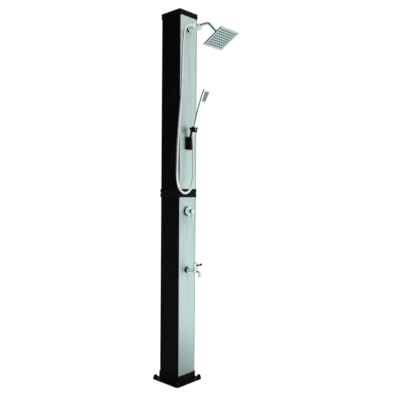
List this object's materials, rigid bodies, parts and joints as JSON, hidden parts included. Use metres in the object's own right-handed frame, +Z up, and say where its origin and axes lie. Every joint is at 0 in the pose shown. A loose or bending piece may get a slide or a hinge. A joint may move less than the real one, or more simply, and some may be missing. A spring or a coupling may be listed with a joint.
{
  "type": "outdoor shower post",
  "caption": "Tall black outdoor shower post with aluminium fronts, an overhead head on a bent arm, a handset on a hose, a lever mixer and a foot tap.",
  "frame": {"origin": "middle of the base plate's underside, on the ground", "axes": "+Z up the post, -Y the front with the panels and fittings, +X to the right of someone who faces +Y; the hose hangs on the -X side"},
  "size_m": [0.2555, 0.5075, 2.2],
  "materials": {
    "base": "satin black powder coat",
    "casing": "fine-grained black",
    "collar": "satin black",
    "front": "brushed and anodised",
    "fittings": "polished",
    "chromed": "chromed",
    "plate": "satin",
    "castings": "as cast",
    "pipes": "bright copper colour",
    "screws": "bare",
    "seal": "matt",
    "nozzles": "matt grey",
    "tube": "smooth beige-white skin",
    "black_trim": "satin black",
    "gloss_black": "polished black",
    "cartridge": "moulded",
    "handset_grey": "satin grey-green"
  },
  "bodies": {
    "post": {"base_foot": "base", "anchor_caps": "base", "lower_column": "casing", "upper_column": "casing", "joint_sleeve": "casing", "link_pipe": "casing", "link_nuts": "casing", "lower_collar": "collar", "upper_collar": "collar", "top_cap": "collar", "drain_plug": "collar", "lower_front_panel": "front", "upper_front_panel": "front", "diverter_rosette": "fittings", "inlet_lock_nut": "fittings", "diverter_body": "fittings", "arm_nut": "fittings", "shower_arm": "fittings", "arm_ball": "fittings", "hose_nut_upper": "fittings", "cartridge_nut": "fittings", "mixer_rosette": "fittings", "tap_rosette": "fittings", "tap_body": "fittings", "tap_bonnet": "fittings", "tap_outlet_ring": "fittings", "inlet_connector": "castings", "inlet_nut": "castings", "cold_manifold": "castings", "tap_tee": "castings", "tank_fittings": "castings", "riser_elbow": "castings", "mixer_body": "castings", "feed_pipe": "pipes", "fill_pipe": "pipes", "cold_riser": "pipes", "hot_pipe": "pipes", "mixed_riser": "pipes", "casing_screws": "screws", "bracket_screws": "screws", "tilt_pin": "screws", "joint_gasket": "seal", "link_seals": "seal", "hose": "tube", "hose_end": "tube", "bracket_base": "black_trim", "mixer_cartridge": "cartridge"},
    "diverter": {"diverter_knob": "fittings"},
    "head_swivel": {"head_collar": "fittings"},
    "head": {"head_shell": "chromed", "spray_plate": "plate", "nozzle_mat": "nozzles"},
    "holder": {"holder_arm": "black_trim"},
    "handset": {"handset_body": "chromed", "handset_face": "handset_grey", "hose_nut_lower": "fittings"},
    "mixer_turn": {"mixer_spindle": "fittings"},
    "mixer_lift": {"mixer_lever": "fittings"},
    "tap": {"tap_cap": "fittings", "tap_lever": "gloss_black"}
  },
  "joints": [
    {"name": "diverter_turn", "type": "hinge", "parent": "post", "child": "diverter", "pos_m": [0, -0.136, 2.098], "axis": [1, 0, 0], "range_deg": [0, 90]},
    {"name": "head_tilt", "type": "hinge", "parent": "post", "child": "head_swivel", "pos_m": [0, -0.31636, 2.01592], "axis": [1, 0, 0], "range_deg": [-37, 5]},
    {"name": "head_spin", "type": "hinge", "parent": "head_swivel", "child": "head", "pos_m": [0, -0.31636, 2.01592], "axis": [0, 0.4787, 0.878], "range_deg": [-180, 180]},
    {"name": "holder_tilt", "type": "hinge", "parent": "post", "child": "holder", "pos_m": [0, -0.094, 1.4482], "axis": [1, 0, 0], "range_deg": [-8, 12], "deforming": ["hose_end"]},
    {"name": "handset_lift", "type": "slide", "parent": "holder", "child": "handset", "axis": [0, -0.309, 0.9511], "range_m": [0, 0.06], "deforming": ["hose_end"]},
    {"name": "mixer_turn", "type": "hinge", "parent": "post", "child": "mixer_turn", "pos_m": [0, -0.113, 1.0208], "axis": [0, -1, 0], "range_deg": [-45, 45]},
    {"name": "mixer_lift", "type": "hinge", "parent": "mixer_turn", "child": "mixer_lift", "pos_m": [0, -0.113, 1.0208], "axis": [-1, 0, 0], "range_deg": [0, 25]},
    {"name": "tap_turn", "type": "hinge", "parent": "post", "child": "tap", "pos_m": [0, -0.146, 0.6721], "axis": [0, 0, 1], "range_deg": [0, 90]}
  ]
}
